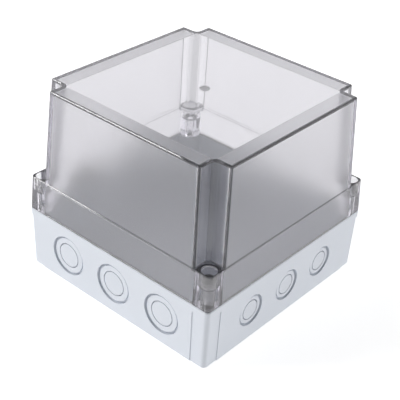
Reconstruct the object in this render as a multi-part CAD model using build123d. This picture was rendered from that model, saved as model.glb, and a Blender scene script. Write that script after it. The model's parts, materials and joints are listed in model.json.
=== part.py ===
from build123d import *
from math import cos, radians, sin
import os

# Hinged wall box: moulded base with metric knockouts, tall clear cover with notched corners.
# Origin at the centre of the back face, +Z away from the wall, cover hinged along the -X side.

# Outside of the two mouldings
size_x = 180.0
size_y = 181.0
base_height = 50.0
parting_gap = 0.3
skirt_height = 27.8
dome_height = 74.9
corner_radius = 3.5

# Inset that each wall gains over its height
base_draft = 0.7
skirt_draft = 1.4
shelf_step = 0.5
dome_draft = 4.0
cavity_draft = 0.5

# Wall thicknesses
base_wall = 4.0
floor_thickness = 3.0
cover_wall = 3.0
cover_top = 3.0
inner_edge_radius = 0.8

# Notched corners of the cover's dome
notch_width = 14.2
notch_root_radius = 3.6
dome_edge_radius = 1.6
top_edge_radius = 1.3
top_edge_flats = 3

# Window panel inside the cover's top, and the gate mark at its centre
window_depth = 0.4
window_corner_radius = 3.0
gate_mark_radius = 3.8
gate_mark_depth = 0.5

# Corner tubes of the cover, on the four screw lines
screw_inset = 8.1
tube_radius = 8.8
counterbore_radius = 5.8
counterbore_depth = 13.0
counterbore_bevel = 1.5

# Corner posts of the base, with the keyway and the cored chamber under it
post_radius = 9.4
post_edge_radius = 1.5
chamber_radius = 4.8
post_ledge = 3.0
keyway_width = 5.4
keyway_length = 9.2

# Seal groove in the rim, which passes inside the screw lines, and the seal in it
groove_offset = 1.2
groove_width = 1.8
groove_depth = 1.8
groove_post_radius = 6.3
groove_edge_radius = 1.2
seal_clearance = 0.05
seal_stand = 0.15

# Corners of the base, set back a little from the walls between them and from the rim
corner_relief = 0.5
corner_relief_top = 44.5
corner_relief_width = 14.2

# Bevels on the outer edges of the base's rim and of the cover's foot and shelf
rim_bevel = 0.5
foot_bevel = 0.4
shelf_bevel = 0.4

# Knockouts, the wide kind on the Y walls and the narrow kind on the X walls
knockout_z = 25.4
knockouts_per_wall = 3
wide_outer_radius = 16.25
wide_inner_radius = 10.25
wide_pitch = 47.8
narrow_outer_radius = 12.75
narrow_inner_radius = 8.25
narrow_pitch = 41.6
knockout_step = 0.9
outer_groove_width = 1.9
inner_groove_width = 0.8
knockout_groove_depth = 1.9

# Wall fixing holes and plate bosses in the floor
fixing_spacing_x = 140.0
fixing_spacing_y = 140.0
fixing_hole_radius = 2.4
fixing_collar_radius = 5.5
fixing_collar_height = 3.0
boss_spacing_x = 110.0
boss_spacing_y = 124.0
boss_radius = 4.2
boss_height = 8.0
boss_hole_radius = 1.65
boss_hole_depth = 9.0

# Quarter-turn cover screws, with the cross pin and the O-ring of each
shank_radius = 2.3
shank_clearance = 0.1
head_radius = 5.3
head_height = 5.0
head_bevel = 0.8
head_slot_width = 1.6
head_slot_depth = 2.2
head_slot_length = 8.6
tip_length = 1.8
cross_pin_radius = 1.0
cross_pin_length = 8.4
cross_pin_clearance = 0.3
cross_pin_fit = 0.02
o_ring_width = 1.4
o_ring_height = 1.4
o_ring_bevel = 0.4
o_ring_gap = 0.05

# Hinges on the -X wall
hinge_places = {"a": -31.0, "b": 31.0}
hinge_width = 30.0
hinge_offset = 4.2
leaf_thickness = 3.0
leaf_corner_radius = 2.0
knuckle_radius = 3.6
knuckle_gap = 0.4
cover_knuckle_width = 14.0
base_leaf_reach = 11.2
cover_leaf_reach = 13.0
pin_radius = 1.5
pin_clearance = 0.05
pin_recess = 0.5
pin_edge = 0.3
pad_margin = 0.6

# Screws of the hinge leaves and the blind bosses that take them
leaf_screws_per_leaf = 2
leaf_screw_spacing = 19.0
leaf_screw_radius = 1.5
leaf_screw_length = 10.0
leaf_screw_clearance = 0.1
leaf_head_radius = 2.75
leaf_head_height = 1.9
leaf_head_bevel = 0.6
leaf_slot_width = 0.8
leaf_slot_depth = 0.9
leaf_boss_radius = 3.4
leaf_boss_cap = 1.2
leaf_hole_spare = 0.4

# How far a cut runs past the face that it opens
overrun = 5.0

# Places worked out from the sizes above
half_x = size_x / 2
half_y = size_y / 2
cover_z = base_height + parting_gap
shelf_z = cover_z + skirt_height
top_z = shelf_z + dome_height
seat_z = shelf_z - counterbore_depth
screw_x = half_x - screw_inset
screw_y = half_y - screw_inset
corner_signs = [(-1, -1), (1, -1), (1, 1), (-1, 1)]
screw_lines = [(sx * screw_x, sy * screw_y) for sx, sy in corner_signs]
cover_screw_places = {"a": (screw_x, -screw_y), "b": (screw_x, screw_y)}
cross_pin_z = base_height - post_ledge - cross_pin_clearance - cross_pin_radius
hinge_x = -half_x - hinge_offset
hinge_z = base_height + parting_gap / 2
knuckle_reach = knuckle_radius + knuckle_gap
on_end = (Align.CENTER, Align.CENTER, Align.MIN)


def rounded_outline(inset, radius, z):
    """Rounded rectangle at height z, set in from the box's largest outline."""
    return Pos(0, 0, z) * RectangleRounded(size_x - 2 * inset, size_y - 2 * inset, radius)


def notched_outline(inset, notch, root_radius, edge_radius, z):
    """Outline with its four corners notched back, at height z."""
    x, y = half_x - inset, half_y - inset
    outline = Rectangle(2 * x, 2 * y)
    for sx, sy in corner_signs:
        outline -= Pos(sx * (x - notch / 2), sy * (y - notch / 2)) * Rectangle(notch, notch)
    edges = [v for v in outline.vertices() if abs(v.X) > x - notch / 2 or abs(v.Y) > y - notch / 2]
    outline = fillet(edges, edge_radius)
    roots = [v for v in outline.vertices() if abs(v.X) < x - notch / 2 and abs(v.Y) < y - notch / 2]
    return Pos(0, 0, z) * fillet(roots, root_radius)


def post_notch(inset, radius):
    """Notch size that leaves a radius round the screw line, for an outline set in by inset."""
    return screw_inset - inset + radius


def drafted(*outlines):
    """Solid with straight walls from each outline up to the next of the same kind."""
    return loft([outline.face() for outline in outlines], ruled=True)


def upright(radius, bottom, top, place=(0, 0)):
    """Vertical cylinder between two heights."""
    return Pos(*place, bottom) * Cylinder(radius, top - bottom, align=on_end)


def along_x(radius, start, end, y, z):
    """Cylinder along X between two places."""
    return Pos(start, y, z) * Rot(0, 90, 0) * Cylinder(radius, end - start, align=on_end)


def along_y(radius, start, end, x, z):
    """Cylinder along Y between two places."""
    return Pos(x, start, z) * Rot(-90, 0, 0) * Cylinder(radius, end - start, align=on_end)


def wall_inset(z):
    """How far the drafted base wall stands in from the largest outline at height z."""
    return base_draft * (1 - z / base_height)


def corner_reliefs():
    """Cuts that set the corners of the base back, up to a little below the rim."""
    foot, head = -overrun, base_height + overrun
    core = drafted(rounded_outline(wall_inset(foot) + corner_relief, corner_radius, foot),
                   rounded_outline(wall_inset(head) + corner_relief, corner_radius, head))
    reach = corner_relief_width + overrun
    block = Box(reach, reach, corner_relief_top + overrun, align=on_end)
    x, y = half_x - corner_relief_width + reach / 2, half_y - corner_relief_width + reach / 2
    return [Pos(sx * x, sy * y, foot) * block - core for sx, sy in corner_signs]


def wall_knockouts(half_out, outer_radius, inner_radius, pitch):
    """Cuts for the knockouts of the base wall facing +X: sunk discs, each with two breaking grooves."""
    disc = half_out - wall_inset(knockout_z) - knockout_step
    groove = disc - knockout_groove_depth
    cuts = []
    for i in range(knockouts_per_wall):
        y = (i - (knockouts_per_wall - 1) / 2) * pitch
        cuts.append(along_x(outer_radius, disc, disc + overrun, y, knockout_z))
        for radius, width in ((outer_radius, outer_groove_width), (inner_radius, inner_groove_width)):
            core = along_x(radius - width, groove, disc + overrun, y, knockout_z)
            cuts.append(along_x(radius, groove, disc + overrun, y, knockout_z) - core)
    return cuts


def hinge_pads(low, high, depth):
    """Upright pads on the -X wall, flush with its largest outline, that the hinge leaves sit on."""
    pad = Box(depth, hinge_width + 2 * pad_margin, high - low, align=(Align.MIN, Align.CENTER, Align.MIN))
    return [Pos(-half_x, y, low) * pad for y in hinge_places.values()]


def leaf_screw_lines(place, side, reach):
    """Y and Z of the screws of one hinge leaf."""
    z = hinge_z + side * (knuckle_reach + reach) / 2
    middle = (leaf_screws_per_leaf - 1) / 2
    return [(place + (i - middle) * leaf_screw_spacing, z) for i in range(leaf_screws_per_leaf)]


def leaf_screw_bosses(side, reach):
    """Blind bosses behind the wall for the leaf screws, and the holes in them."""
    hole_end = -half_x - leaf_thickness + leaf_screw_length + leaf_hole_spare
    bosses, holes = [], []
    for place in hinge_places.values():
        for y, z in leaf_screw_lines(place, side, reach):
            bosses.append(along_x(leaf_boss_radius, -half_x + cover_wall / 2, hole_end + leaf_boss_cap, y, z))
            holes.append(along_x(leaf_screw_radius + leaf_screw_clearance, -half_x - overrun, hole_end, y, z))
    return bosses, holes


def rim_ring(clearance, bottom, top):
    """Closed ring that follows the walls and passes inside the four screw lines."""
    outer_inset = groove_offset + clearance
    inner_inset = groove_offset + groove_width - clearance
    outer_round = groove_post_radius + clearance
    inner_round = groove_post_radius + groove_width - clearance
    edge = groove_edge_radius + clearance
    outer = notched_outline(outer_inset, post_notch(outer_inset, outer_round), outer_round,
                            edge + inner_inset - outer_inset, bottom)
    inner = notched_outline(inner_inset, post_notch(inner_inset, inner_round), inner_round, edge, bottom)
    return extrude(outer - inner, top - bottom)


def base_cavity():
    """Room inside the base, drafted, with the corner posts left standing."""
    foot = base_wall + cavity_draft
    outlines = [notched_outline(inset, post_notch(inset, post_radius), post_radius, post_edge_radius, z)
                for inset, z in ((foot, floor_thickness), (base_wall, base_height + overrun))]
    return drafted(*outlines)


def base_floor_details():
    """Collars of the wall fixing holes and bosses for a mounting plate, and their holes."""
    collar_top = floor_thickness + fixing_collar_height
    boss_top = floor_thickness + boss_height
    solids, holes = [], []
    for sx, sy in corner_signs:
        fixing = (sx * fixing_spacing_x / 2, sy * fixing_spacing_y / 2)
        boss = (sx * boss_spacing_x / 2, sy * boss_spacing_y / 2)
        solids.append(upright(fixing_collar_radius, floor_thickness / 2, collar_top, fixing))
        holes.append(upright(fixing_hole_radius, -overrun, collar_top + overrun, fixing))
        solids.append(upright(boss_radius, floor_thickness / 2, boss_top, boss))
        holes.append(upright(boss_hole_radius, boss_top - boss_hole_depth, boss_top + overrun, boss))
    return solids, holes


def base_post_cuts():
    """Keyway through the ledge of each corner post, and the chamber cored under it from the back."""
    ledge_bottom = base_height - post_ledge
    slot = SlotOverall(keyway_length, keyway_width, rotation=90)
    cuts = []
    for x, y in screw_lines:
        cuts.append(upright(chamber_radius, -overrun, ledge_bottom, (x, y)))
        cuts.append(Pos(x, y, ledge_bottom - overrun) * extrude(slot, post_ledge + 2 * overrun))
    return cuts


def base_housing():
    """Base moulding: four drafted walls, knockouts, corner posts, seal groove and floor."""
    shoulder = base_height - rim_bevel
    body = drafted(rounded_outline(base_draft, corner_radius, 0),
                   rounded_outline(wall_inset(shoulder), corner_radius, shoulder),
                   rounded_outline(rim_bevel, corner_radius - rim_bevel, base_height))
    narrow = wall_knockouts(half_x, narrow_outer_radius, narrow_inner_radius, narrow_pitch)
    wide = wall_knockouts(half_y, wide_outer_radius, wide_inner_radius, wide_pitch)
    body -= corner_reliefs()
    body += hinge_pads(hinge_z - base_leaf_reach - pad_margin, shoulder, base_wall / 2)
    body -= base_cavity()
    for turn in (0, 180):
        body -= [Rot(0, 0, turn) * cut for cut in narrow]
        body -= [Rot(0, 0, turn + 90) * cut for cut in wide]
    floor_solids, floor_holes = base_floor_details()
    bosses, boss_holes = leaf_screw_bosses(-1, base_leaf_reach)
    body += floor_solids + bosses
    body -= floor_holes + boss_holes + base_post_cuts()
    return body - rim_ring(0, base_height - groove_depth, base_height + overrun)


def cover_gasket():
    """One-piece seal, standing a little proud of its groove."""
    return rim_ring(seal_clearance, base_height - groove_depth, base_height + seal_stand)


def dome_outline(inset, root_radius, edge_radius, z):
    """Notched outline of the dome at height z."""
    return notched_outline(inset, notch_width, root_radius, edge_radius, z)


def cover_outside():
    """Drafted and bevelled skirt with the notched dome on it, its top edge rounded off in narrow flats."""
    skirt = drafted(rounded_outline(foot_bevel, corner_radius - foot_bevel, cover_z),
                    rounded_outline(0, corner_radius, cover_z + foot_bevel),
                    rounded_outline(skirt_draft, corner_radius, shelf_z - shelf_bevel),
                    rounded_outline(skirt_draft + shelf_bevel, corner_radius - shelf_bevel, shelf_z))
    foot = skirt_draft + shelf_step
    head = foot + dome_draft * (1 - top_edge_radius / dome_height)
    outlines = [dome_outline(foot, notch_root_radius, dome_edge_radius, shelf_z)]
    for i in range(top_edge_flats + 1):
        turn = radians(90 * i / top_edge_flats)
        inset = top_edge_radius * (1 - cos(turn))
        z = top_z - top_edge_radius * (1 - sin(turn))
        outlines.append(dome_outline(head + inset, notch_root_radius + inset, dome_edge_radius - inset, z))
    return skirt + drafted(*outlines)


def cover_inside():
    """Room inside the cover, with the four screw tubes left standing."""
    foot = skirt_draft + shelf_step + cover_wall
    root = notch_root_radius + cover_wall
    ceiling = top_z - cover_top
    skirt = drafted(rounded_outline(cover_wall, inner_edge_radius, cover_z - overrun),
                    rounded_outline(cover_wall + skirt_draft, inner_edge_radius, shelf_z - cover_wall))
    for place in screw_lines:
        skirt -= upright(tube_radius, cover_z - 2 * overrun, shelf_z, place)
    dome = drafted(dome_outline(foot, root, inner_edge_radius, shelf_z - cover_wall - overrun),
                   dome_outline(foot + dome_draft, root, inner_edge_radius, ceiling))
    edge = 2 * (notch_width + skirt_draft + shelf_step + dome_draft)
    pane = Pos(0, 0, ceiling) * RectangleRounded(size_x - edge, size_y - edge, window_corner_radius)
    window = extrude(pane, window_depth)
    gate_mark = upright(gate_mark_radius, ceiling, ceiling + window_depth + gate_mark_depth)
    return skirt + dome + window + gate_mark


def tube_cuts():
    """Counterbore and shank hole of the four screw tubes."""
    cuts = []
    for place in screw_lines:
        bore = upright(counterbore_radius, seat_z, shelf_z + overrun, place)
        cuts.append(chamfer(bore.edges().sort_by(Axis.Z)[0], counterbore_bevel))
        cuts.append(upright(shank_radius + shank_clearance, cover_z - overrun, seat_z + overrun, place))
    return cuts


def clear_cover():
    """Cover moulding: skirt, dome with notched corners, screw tubes, window panel and hinge pads."""
    body = cover_outside() - cover_inside()
    bosses, boss_holes = leaf_screw_bosses(1, cover_leaf_reach)
    body += hinge_pads(cover_z + foot_bevel, hinge_z + cover_leaf_reach + pad_margin, cover_wall) + bosses
    return body - boss_holes - tube_cuts()


def hinge_leaf(place, side, reach, spans):
    """Hinge leaf on the -X wall: a plate away from the pin and the knuckles over some spans of it."""
    plate = Pos(0, side * (knuckle_reach + reach) / 2) * Rectangle(hinge_width, reach - knuckle_reach)
    far = [v for v in plate.vertices() if abs(v.Y) > knuckle_reach + leaf_corner_radius]
    plate = fillet(far, leaf_corner_radius)
    for low, high in spans:
        plate += Pos((low + high) / 2, side * knuckle_reach / 2) * Rectangle(high - low, knuckle_reach)
    wall = Plane(origin=(-half_x, place, hinge_z), x_dir=(0, 1, 0), z_dir=(1, 0, 0))
    leaf = extrude(wall * plate, -leaf_thickness)
    for low, high in spans:
        leaf += along_y(knuckle_radius, place + low, place + high, hinge_x, hinge_z)
    leaf -= along_y(pin_radius + pin_clearance, place - hinge_width, place + hinge_width, hinge_x, hinge_z)
    for y, z in leaf_screw_lines(place, side, reach):
        leaf -= along_x(leaf_screw_radius + leaf_screw_clearance, -half_x - leaf_thickness - overrun,
                        -half_x + overrun, y, z)
    return leaf


def hinge_base_leaf(place):
    """Fixed leaf, with a knuckle at each end."""
    inner, outer = cover_knuckle_width / 2 + knuckle_gap, hinge_width / 2
    return hinge_leaf(place, -1, base_leaf_reach, [(-outer, -inner), (inner, outer)])


def hinge_cover_leaf(place):
    """Moving leaf, with one knuckle in the middle."""
    return hinge_leaf(place, 1, cover_leaf_reach, [(-cover_knuckle_width / 2, cover_knuckle_width / 2)])


def hinge_pin(place):
    """Stainless pin with bevelled ends, a little shorter than the hinge."""
    reach = hinge_width / 2 - pin_recess
    pin = along_y(pin_radius, place - reach, place + reach, hinge_x, hinge_z)
    return chamfer(pin.edges().filter_by(GeomType.CIRCLE), pin_edge)


def leaf_screw(y, z):
    """Pan-head screw through a leaf into its boss, slotted across the head."""
    seat = -half_x - leaf_thickness
    head = along_x(leaf_head_radius, seat - leaf_head_height, seat, y, z)
    head = chamfer(head.edges().filter_by(GeomType.CIRCLE).sort_by(Axis.X)[0], leaf_head_bevel)
    slot = Box(leaf_slot_depth, 2 * leaf_head_radius, leaf_slot_width,
               align=(Align.MIN, Align.CENTER, Align.CENTER))
    head -= Pos(seat - leaf_head_height, y, z) * slot
    return head + along_x(leaf_screw_radius, seat, seat + leaf_screw_length, y, z)


def cover_screw(place):
    """Quarter-turn screw: slotted head in the tube, shank down to the base, hole for its cross pin."""
    head_z = seat_z + o_ring_height + 2 * o_ring_gap
    head_top = head_z + head_height
    head = upright(head_radius, head_z, head_top, place)
    head = chamfer(head.edges().sort_by(Axis.Z)[-1], head_bevel)
    slot = Box(head_slot_width, head_slot_length, head_slot_depth,
               align=(Align.CENTER, Align.CENTER, Align.MAX))
    body = head - Pos(*place, head_top) * slot
    body += upright(shank_radius, cross_pin_z - tip_length, head_z, place)
    x, y = place
    return body - along_y(cross_pin_radius + cross_pin_fit, y - head_radius, y + head_radius, x, cross_pin_z)


def screw_cross_pin(place):
    """Steel pin across the tip of a cover screw, in line with the keyway while the screw is undone."""
    x, y = place
    return along_y(cross_pin_radius, y - cross_pin_length / 2, y + cross_pin_length / 2, x, cross_pin_z)


def screw_o_ring(place):
    """O-ring squeezed between the head and the floor of the counterbore."""
    bottom = seat_z + o_ring_gap
    hole_radius = shank_radius + shank_clearance
    ring = upright(hole_radius + o_ring_width, bottom, bottom + o_ring_height, place)
    ring -= upright(hole_radius, bottom - overrun, bottom + overrun, place)
    return chamfer(ring.edges().filter_by(GeomType.CIRCLE), o_ring_bevel)


def subcomponents():
    """Every separate piece by its name."""
    nodes = {"base_housing": base_housing(), "cover_gasket": cover_gasket(), "clear_cover": clear_cover()}
    for name, place in hinge_places.items():
        nodes[f"hinge_base_leaf_{name}"] = hinge_base_leaf(place)
        nodes[f"hinge_cover_leaf_{name}"] = hinge_cover_leaf(place)
        nodes[f"hinge_pin_{name}"] = hinge_pin(place)
        for kind, side, reach in (("base", -1, base_leaf_reach), ("cover", 1, cover_leaf_reach)):
            for i, (y, z) in enumerate(leaf_screw_lines(place, side, reach)):
                nodes[f"hinge_{kind}_screw_{name}{i + 1}"] = leaf_screw(y, z)
    for name, place in cover_screw_places.items():
        nodes[f"cover_screw_{name}"] = cover_screw(place)
        nodes[f"screw_cross_pin_{name}"] = screw_cross_pin(place)
        nodes[f"screw_o_ring_{name}"] = screw_o_ring(place)
    return nodes


os.makedirs("parts", exist_ok=True)
for node, shape in subcomponents().items():
    export_step(shape, f"parts/{node}.step")
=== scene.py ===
import json
import math

import bpy
from mathutils import Matrix, Vector

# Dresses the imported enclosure: smoke-clear cover, grained base, seal, hinges and screws, on a white sweep.

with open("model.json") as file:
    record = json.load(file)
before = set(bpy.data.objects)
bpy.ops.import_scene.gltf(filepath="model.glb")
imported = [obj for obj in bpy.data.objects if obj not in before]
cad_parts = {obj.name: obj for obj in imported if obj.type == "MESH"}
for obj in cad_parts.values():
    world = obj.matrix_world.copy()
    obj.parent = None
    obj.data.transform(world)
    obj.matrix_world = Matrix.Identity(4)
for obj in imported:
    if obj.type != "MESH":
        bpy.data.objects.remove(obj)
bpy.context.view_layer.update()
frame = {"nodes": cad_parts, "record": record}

MM = 0.001

# Sizes of the mouldings that the finishes follow, as in the part's source
HALF_X = 90.0 * MM
HALF_Y = 90.5 * MM
COVER_FOOT = 50.3 * MM
SKIRT_HEIGHT = 27.8 * MM
DOME_HEIGHT = 74.9 * MM
SKIRT_DRAFT = 1.4 * MM
SHELF_STEP = 0.5 * MM
DOME_DRAFT = 4.0 * MM
NOTCH_WIDTH = 14.2 * MM
COVER_WALL = 3.0 * MM
TOP_WALL = 3.0 * MM
WINDOW_DEPTH = 0.4 * MM
GATE_MARK_RADIUS = 3.8 * MM
SCREW_INSET = 8.1 * MM
TUBE_RADIUS = 8.8 * MM

# Places worked out from them
SHELF = COVER_FOOT + SKIRT_HEIGHT
COVER_TOP = SHELF + DOME_HEIGHT
SHELF_INSET = SKIRT_DRAFT + SHELF_STEP
WINDOW_HALF_X = HALF_X - SHELF_INSET - DOME_DRAFT - NOTCH_WIDTH
WINDOW_HALF_Y = HALF_Y - SHELF_INSET - DOME_DRAFT - NOTCH_WIDTH
WINDOW_CEILING = COVER_TOP - TOP_WALL + WINDOW_DEPTH
SCREW_X = HALF_X - SCREW_INSET
SCREW_Y = HALF_Y - SCREW_INSET

# Smallest margin between a finish and the face beside it
HAIR = 0.1 * MM

# Ways in from the cover's outer walls, over which a mask rises from 0 to 1 (the last two for the painted
# shade in the notches)
INSIDE_START = 1.0 * MM
INSIDE_END = 2.0 * MM
ROOT_START = 6.0 * MM
ROOT_END = 8.0 * MM
NOTCH_SHADE_START = 5.0 * MM
NOTCH_SHADE_END = 10.0 * MM

# Places along X between which the shelf's edge loses its polish
POLISH_FADE_START = -40.0 * MM
POLISH_FADE_END = 10.0 * MM

# Height of the painted shade line over the cover's foot, and depth of the painted shade line on the inner
# walls under its shelf
FOOT_LINE_HEIGHT = 0.9 * MM
SHELF_LINE_SHADE_DEPTH = 1.1 * MM

# A face is rounded where no axis has this much of its direction, and steep where Z has under STEEP_LIMIT
ROUNDED_LIMIT = 0.975
ROUNDED_SOFTNESS = 0.018
STEEP_LIMIT = 0.4
STEEP_SOFTNESS = 0.2

# How strongly each painted shade mark darkens the cover's colour, and how far the painted shade on an edge
# is lightened again at the root of a notch
ROOT_LIGHTENING = 0.4
FOOT_DARKNESS = 0.7
WINDOW_STEP_DARKNESS = 0.8
GATE_MARK_DARKNESS = 0.35
SHELF_LINE_SHADE_DARKNESS = 0.6
MOUTH_DARKNESS = 0.85
NOTCH_DARKNESS = 0.4

# How far the inside of a notch is polished, and how much its eroded grain adds to the cover's ripple
NOTCH_POLISH = 0.6
GRAIN_HEIGHT_SHARE = 0.01

# Camera, fitted to the corners of the photographed box
CAMERA_AZIMUTH = math.radians(39.58)
CAMERA_ELEVATION = math.radians(33.21)
CAMERA_ROLL = math.radians(3.637)
CAMERA_DISTANCE = 744.3 * MM
CAMERA_TARGET = Vector((0, 0, 52.56 * MM))
SENSOR_WIDTH = 36.0
FOCAL_PIXELS = 968.2
FRAME_PIXELS = 400
CENTRE_SHIFT_X = 2.7
CENTRE_SHIFT_Y = 5.4
NEAREST_SEEN = 0.05
FARTHEST_SEEN = 60.0

# Light of the set, with the place, width and watts of each softbox
FLOOR_WIDTH = 30.0
FLOOR_GLOW = 0.6
OVERHEAD_DIMMING = 0.9
OVERHEAD_START = 0.4
OVERHEAD_END = 0.9
CAMERA_SIDE_DIMMING = 0.9
CAMERA_SIDE_END = 0.7
LIGHT_TARGET = (0, 0, 0.08)
SOFTBOXES = {
    "key_left": ((-1.6, -1.5, 1.5), 0.8, 31.0),
    "rim_right": ((0.8, 1.1, 0.5), 0.4, 4.0),
    "back_top": ((0.1, 1.6, 2.0), 1.6, 4.0),
}

# Sockets of Blender's Mix node when it blends colours
MIX_FACTOR = 0
MIX_FIRST = 6
MIX_SECOND = 7
MIX_RESULT = 2


class Socket:
    """One value inside a finish. Arithmetic on it adds the Math nodes for it."""

    def __init__(self, finish, socket):
        self.finish = finish
        self.socket = socket

    def __add__(self, other):
        return self.finish.math("ADD", self, other)

    def __sub__(self, other):
        return self.finish.math("SUBTRACT", self, other)

    def __rsub__(self, other):
        return self.finish.math("SUBTRACT", other, self)

    def __mul__(self, other):
        return self.finish.math("MULTIPLY", self, other)

    def __abs__(self):
        return self.finish.math("ABSOLUTE", self)

    __radd__ = __add__
    __rmul__ = __mul__


class Finish:
    """A material or world under construction, with its nodes made by one method."""

    def __init__(self, holder):
        self.holder = holder
        holder.use_nodes = True
        self.tree = holder.node_tree
        self.tree.nodes.clear()

    def node(self, kind, settings=None, inputs=None):
        """Adds a node, sets its settings, then gives its sockets their values or links."""
        made = self.tree.nodes.new("ShaderNode" + kind)
        for name, value in (settings or {}).items():
            setattr(made, name, value)
        for name, value in (inputs or {}).items():
            if isinstance(value, Socket):
                self.tree.links.new(value.socket, made.inputs[name])
            else:
                made.inputs[name].default_value = value
        return made

    def out(self, made, name=0):
        return Socket(self, made.outputs[name])

    def math(self, operation, *values):
        return self.out(self.node("Math", {"operation": operation}, dict(enumerate(values))))

    def largest(self, first, *others):
        for other in others:
            first = self.math("MAXIMUM", first, other)
        return first

    def smaller(self, first, second):
        return self.math("MINIMUM", first, second)

    def distance(self, across, along):
        """Length of the straight way that goes this far across and this far along."""
        return self.math("SQRT", across * across + along * along)

    def step(self, value, low, high):
        """0 below low, 1 above high and a smooth rise between them."""
        ranges = {"Value": value, "From Min": low, "From Max": high}
        return self.out(self.node("MapRange", {"interpolation_type": "SMOOTHSTEP"}, ranges))

    def within(self, value, limit, edge):
        """1 where value stays under limit, 0 from edge past it on."""
        return 1 - self.step(value, limit, limit + edge)

    def between(self, share, low, high):
        """low where share is 0, high where it is 1."""
        return low + share * (high - low)

    def blend(self, factor, first, second):
        """First colour where factor is 0, second where it is 1."""
        colours = {MIX_FACTOR: factor, MIX_FIRST: first, MIX_SECOND: second}
        return self.out(self.node("Mix", {"data_type": "RGBA"}, colours), MIX_RESULT)

    def coordinates(self, kind):
        return self.out(self.node("TexCoord"), kind)

    def split(self, vector):
        """The three numbers of a vector."""
        made = self.node("SeparateXYZ", inputs={"Vector": vector})
        return [self.out(made, axis) for axis in ("X", "Y", "Z")]

    def noise(self, place, scale, detail):
        inputs = {"Vector": place, "Scale": scale, "Detail": detail}
        return self.out(self.node("TexNoise", inputs=inputs), "Fac")

    def bump(self, height, distance, strength):
        inputs = {"Height": height, "Distance": distance, "Strength": strength}
        return self.out(self.node("Bump", inputs=inputs), "Normal")

    def surface(self, inputs, volume=None):
        """Ends the finish in a Principled surface with these inputs, and in a volume if it has one."""
        ends = {"Surface": self.out(self.node("BsdfPrincipled", inputs=inputs))}
        if volume:
            ends["Volume"] = volume
        self.node("OutputMaterial", inputs=ends)


def rgb(red, green, blue):
    return (red, green, blue, 1.0)


def new_finish(name):
    """A finish for a new material, and the place of each point on the piece that wears it."""
    finish = Finish(bpy.data.materials.new(name))
    return finish, finish.coordinates("Object")


class CoverPlaces:
    """Where a point of the cover lies: its place, how far it is in from the walls, and masks from 0 to 1."""

    def __init__(self, finish, place):
        self.x, self.y, self.z = finish.split(place)
        on_dome = finish.step(self.z, SHELF + HAIR / 2, SHELF + HAIR)
        skirt_lean = (self.z - COVER_FOOT) * (SKIRT_DRAFT / SKIRT_HEIGHT)
        dome_lean = (self.z - SHELF) * (DOME_DRAFT / DOME_HEIGHT) + SHELF_INSET
        lean = skirt_lean + (dome_lean - skirt_lean) * on_dome
        from_x = HALF_X - abs(self.x) - lean
        from_y = HALF_Y - abs(self.y) - lean
        self.nearer = finish.smaller(from_x, from_y)
        self.farther = finish.largest(from_x, from_y)

        under_shelf = SHELF - COVER_WALL
        self.above_shelf = finish.step(self.z, under_shelf - 2 * HAIR, under_shelf)
        self.behind_notch = finish.step(self.farther, NOTCH_WIDTH + HAIR, NOTCH_WIDTH + 7 * HAIR)
        deep = finish.step(finish.smaller(self.nearer, COVER_TOP - self.z), INSIDE_START, INSIDE_END)
        self.inner = deep * finish.largest(self.behind_notch, 1 - self.above_shelf)
        self.on_ceiling = finish.step(self.z, WINDOW_CEILING - 3 * HAIR, WINDOW_CEILING - HAIR)
        at_centre = finish.within(finish.distance(self.x, self.y), GATE_MARK_RADIUS, HAIR)
        self.gate_mark = at_centre * self.on_ceiling


def eroded_faces(finish, at):
    """The matt faces: all of the inside but the tubes and the window, and fainter at the notches."""
    notch = finish.within(at.farther, NOTCH_WIDTH + COVER_WALL + 3 * HAIR, 2 * HAIR) * at.above_shelf
    off_screw = finish.distance(abs(at.x) - SCREW_X, abs(at.y) - SCREW_Y)
    tube = finish.within(off_screw, TUBE_RADIUS + HAIR, 3 * HAIR) * (1 - at.above_shelf)
    window = finish.within(abs(at.x), WINDOW_HALF_X - HAIR, HAIR)
    window = window * finish.within(abs(at.y), WINDOW_HALF_Y - HAIR, HAIR)
    window = window * at.on_ceiling * (1 - at.gate_mark)
    return at.inner * (1 - finish.largest(notch * NOTCH_POLISH, tube, window))


def rounded_edges(finish, at, flat):
    """The outer rounds and bevels from the shelf up, where painted shade goes, fainter at the roots of the
    notches.
    """
    rounded = finish.within(finish.largest(*flat), ROUNDED_LIMIT, ROUNDED_SOFTNESS)
    root = finish.step(at.nearer, ROOT_START, ROOT_END)
    from_shelf = finish.step(at.z, SHELF - 6 * HAIR, SHELF - 4.5 * HAIR)
    return rounded * (1 - at.inner) * from_shelf * (1 - root * ROOT_LIGHTENING)


def shelf_edge_roughness(finish, at, edges):
    """What the shelf's outer edge adds: a little at the hinge side, and more towards the opening side."""
    faded = finish.step(at.x, POLISH_FADE_START, POLISH_FADE_END)
    shelf_edge = edges * finish.within(at.z, SHELF + 3 * HAIR, HAIR)
    return shelf_edge * finish.between(faded, low=0.12, high=0.52)


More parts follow.
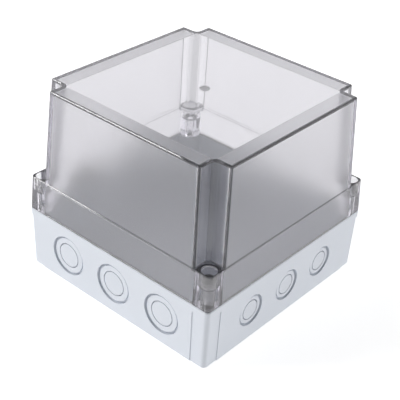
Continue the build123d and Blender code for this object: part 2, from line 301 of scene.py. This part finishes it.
def painted_shade_marks(finish, at, flat, edges):
    """Painted shade on the cover's colour: along the rounded edges, over the foot, at the window step, on
    the gate mark (a real matt spot whose darkening is painted), in a line on the inner walls under the
    shelf, at the tube mouths and in the notches.
    """
    foot = finish.within(at.z, COVER_FOOT + FOOT_LINE_HEIGHT, HAIR)
    window_step = finish.within(flat[2], STEEP_LIMIT, STEEP_SOFTNESS) * at.on_ceiling * at.inner
    # A painted shade line on the inner walls just under the shelf
    shelf_line_shade = finish.within(abs(at.z - (SHELF - SHELF_LINE_SHADE_DEPTH)), 3 * HAIR, 2 * HAIR) * at.inner * at.behind_notch
    # Painted shade at the tube mouths under the notches
    mouth = finish.within(abs(at.z - SHELF), 5 * HAIR, 3 * HAIR)
    mouth = mouth * finish.within(at.farther, NOTCH_WIDTH + 4 * HAIR, 4 * HAIR)
    notch = finish.within(at.farther, NOTCH_WIDTH + 3 * HAIR, 2 * HAIR) * at.above_shelf * flat[1]
    notch = notch * finish.step(at.nearer, NOTCH_SHADE_START, NOTCH_SHADE_END)
    return finish.largest(
        edges,
        foot * FOOT_DARKNESS,
        window_step * WINDOW_STEP_DARKNESS,
        at.gate_mark * GATE_MARK_DARKNESS,
        shelf_line_shade * SHELF_LINE_SHADE_DARKNESS,
        mouth * MOUTH_DARKNESS,
        notch * NOTCH_DARKNESS,
    )


def cover_clear():
    """Smoke-clear polycarbonate: eroded inner faces, polished window and tubes, and painted shade on the
    rounded edges and on a few lines and marks.
    """
    finish, place = new_finish("smoke_clear_polycarbonate")
    at = CoverPlaces(finish, place)
    flat = [abs(part) for part in finish.split(finish.coordinates("Normal"))]
    eroded = eroded_faces(finish, at)
    edges = rounded_edges(finish, at, flat)
    # Painted shade over the cover's colour: rounded edges, foot line, window step, gate mark, shelf line,
    # tube mouths and notches
    painted_shade_amount = painted_shade_marks(finish, at, flat, edges)
    ripple = finish.noise(place, scale=9.0, detail=1.0)
    grain = finish.noise(place, scale=2400.0, detail=2.0)
    polish = finish.between(ripple, low=0.015, high=0.035)
    matt = eroded * finish.between(grain, low=0.3, high=0.34)
    height = ripple + grain * eroded * GRAIN_HEIGHT_SHARE
    # The second colour is the painted shade, blended over the clear plastic
    clear, painted_shade_colour = rgb(0.97, 0.965, 0.975), rgb(0.06, 0.06, 0.065)
    smoke = finish.node("VolumeAbsorption", inputs={"Color": rgb(0.61, 0.585, 0.71), "Density": 35.0})
    finish.surface({
        "Base Color": finish.blend(painted_shade_amount, clear, painted_shade_colour),
        "Roughness": polish + matt + shelf_edge_roughness(finish, at, edges),
        "IOR": 1.585,
        "Transmission Weight": 0.92,
        "Normal": finish.bump(height, distance=0.05 * MM, strength=0.3),
    }, finish.out(smoke))
    return finish.holder


def base_grey():
    """Light grey polycarbonate with the fine even grain of a spark-eroded mould."""
    finish, place = new_finish("light_grey_polycarbonate")
    cloud = finish.noise(place, scale=24.0, detail=2.0)
    grain = finish.noise(place, scale=1900.0, detail=3.0)
    darker, paler = rgb(0.68, 0.715, 0.775), rgb(0.72, 0.75, 0.805)
    finish.surface({
        "Base Color": finish.blend(cloud, darker, paler),
        "Roughness": finish.between(grain, low=0.40, high=0.54),
        "IOR": 1.58,
        "Normal": finish.bump(grain, distance=0.05 * MM, strength=0.35),
    })
    return finish.holder


def seal_rubber():
    """Foamed seal, dark with fine pores."""
    finish, place = new_finish("foamed_seal")
    pores = finish.noise(place, scale=2600.0, detail=2.0)
    darker, paler = rgb(0.10, 0.105, 0.11), rgb(0.18, 0.185, 0.19)
    finish.surface({
        "Base Color": finish.blend(pores, darker, paler),
        "Roughness": finish.between(pores, low=0.75, high=0.90),
        "Normal": finish.bump(pores, distance=0.1 * MM, strength=0.6),
    })
    return finish.holder


def hinge_nylon():
    """Light grey polyamide of the hinge leaves, a little waxy."""
    finish, place = new_finish("hinge_polyamide")
    cloud = finish.noise(place, scale=60.0, detail=2.0)
    grain = finish.noise(place, scale=1500.0, detail=3.0)
    darker, paler = rgb(0.62, 0.66, 0.70), rgb(0.68, 0.72, 0.76)
    finish.surface({
        "Base Color": finish.blend(cloud, darker, paler),
        "Roughness": finish.between(grain, low=0.42, high=0.57),
        "IOR": 1.53,
        "Normal": finish.bump(grain, distance=0.05 * MM, strength=0.3),
    })
    return finish.holder


def screw_nylon():
    """Smoke-grey polyamide of the cover screws, clear enough to look empty from above."""
    finish, place = new_finish("screw_polyamide")
    cloud = finish.noise(place, scale=300.0, detail=2.0)
    darker, paler = rgb(0.46, 0.46, 0.48), rgb(0.54, 0.54, 0.56)
    finish.surface({
        "Base Color": finish.blend(cloud, darker, paler),
        "Roughness": finish.between(cloud, low=0.16, high=0.26),
        "IOR": 1.53,
        "Transmission Weight": 0.85,
    })
    return finish.holder


def stainless():
    """Drawn stainless steel, with fine lines that run along Y."""
    finish, place = new_finish("drawn_stainless")
    stretched = finish.out(finish.node("Mapping", inputs={"Vector": place, "Scale": (40.0, 1.0, 40.0)}))
    lines = finish.noise(stretched, scale=160.0, detail=3.0)
    darker, paler = rgb(0.55, 0.55, 0.56), rgb(0.72, 0.72, 0.73)
    finish.surface({
        "Base Color": finish.blend(lines, darker, paler),
        "Metallic": 1.0,
        "Roughness": finish.between(lines, low=0.24, high=0.40),
        "Normal": finish.bump(lines, distance=0.02 * MM, strength=0.2),
    })
    return finish.holder


def dress_pieces():
    """Gives every CAD piece the finish that its record names."""
    finishes = {
        "cover_clear": cover_clear(),
        "base_grey": base_grey(),
        "seal_rubber": seal_rubber(),
        "hinge_nylon": hinge_nylon(),
        "screw_nylon": screw_nylon(),
        "stainless": stainless(),
    }
    for row in frame["record"]["subparts"]:
        mesh = frame["nodes"][row["node"]].data
        mesh.materials.clear()
        mesh.materials.append(finishes[row["material_slot"]])


def floor():
    """White sweep under the object, which glows a little so that it stays white."""
    finish, place = new_finish("white_sweep")
    cloud = finish.noise(place, scale=3.0, detail=2.0)
    darker, paler = rgb(0.86, 0.86, 0.86), rgb(0.88, 0.88, 0.88)
    finish.surface({
        "Base Color": finish.blend(cloud, darker, paler),
        "Roughness": 0.7,
        "Specular IOR Level": 0.2,
        "Emission Color": rgb(1.0, 1.0, 1.0),
        "Emission Strength": FLOOR_GLOW,
    })
    far = FLOOR_WIDTH / 2
    mesh = bpy.data.meshes.new("floor")
    corners = [(-far, -far, 0), (far, -far, 0), (far, far, 0), (-far, far, 0)]
    mesh.from_pydata(corners, [], [(0, 1, 2, 3)])
    mesh.materials.append(finish.holder)
    panel = bpy.data.objects.new("floor", mesh)
    bpy.context.scene.collection.objects.link(panel)


def softbox(name, place, width, watts):
    """Square area light, aimed at the middle of the object."""
    light = bpy.data.lights.new(name, "AREA")
    light.shape = "SQUARE"
    light.size = width
    light.energy = watts
    lamp = bpy.data.objects.new(name, light)
    lamp.location = place
    lamp.rotation_mode = "QUATERNION"
    lamp.rotation_quaternion = (Vector(LIGHT_TARGET) - Vector(place)).to_track_quat("-Z", "Y")
    bpy.context.scene.collection.objects.link(lamp)


def sky():
    """Surroundings: white at the horizon behind and beside the box, dim overhead and towards the camera."""
    world = bpy.data.worlds.new("studio")
    bpy.context.scene.world = world
    finish = Finish(world)
    x, y, z = finish.split(finish.coordinates("Generated"))
    to_camera = x * math.sin(CAMERA_AZIMUTH) - y * math.cos(CAMERA_AZIMUTH)
    overhead = finish.step(z, OVERHEAD_START, OVERHEAD_END) * OVERHEAD_DIMMING
    camera_side = finish.step(to_camera, 0.0, CAMERA_SIDE_END) * CAMERA_SIDE_DIMMING
    light = {"Color": rgb(0.98, 0.985, 1.0), "Strength": 1 - finish.largest(overhead, camera_side)}
    finish.node("OutputWorld", inputs={"Surface": finish.out(finish.node("Background", inputs=light))})


def camera():
    """Camera at the photograph's angle, with its small roll."""
    level_share = math.cos(CAMERA_ELEVATION)
    back = Vector((
        math.sin(CAMERA_AZIMUTH) * level_share,
        -math.cos(CAMERA_AZIMUTH) * level_share,
        math.sin(CAMERA_ELEVATION),
    ))
    level = (-back).cross(Vector((0, 0, 1))).normalized()
    plumb = level.cross(-back)
    right = level * math.cos(CAMERA_ROLL) + plumb * math.sin(CAMERA_ROLL)
    up = plumb * math.cos(CAMERA_ROLL) - level * math.sin(CAMERA_ROLL)
    data = bpy.data.cameras.new("camera")
    data.sensor_width = SENSOR_WIDTH
    data.lens = FOCAL_PIXELS * SENSOR_WIDTH / FRAME_PIXELS
    data.shift_x = CENTRE_SHIFT_X / FRAME_PIXELS
    data.shift_y = CENTRE_SHIFT_Y / FRAME_PIXELS
    data.clip_start = NEAREST_SEEN
    data.clip_end = FARTHEST_SEEN
    item = bpy.data.objects.new("camera", data)
    bpy.context.scene.collection.objects.link(item)
    turn = Matrix((right, up, back)).transposed().to_4x4()
    item.matrix_world = Matrix.Translation(CAMERA_TARGET + back * CAMERA_DISTANCE) @ turn
    bpy.context.scene.camera = item


dress_pieces()
floor()
sky()
for name, (place, width, watts) in SOFTBOXES.items():
    softbox(name, place, width, watts)
camera()
bpy.context.scene.view_settings.view_transform = "Standard"
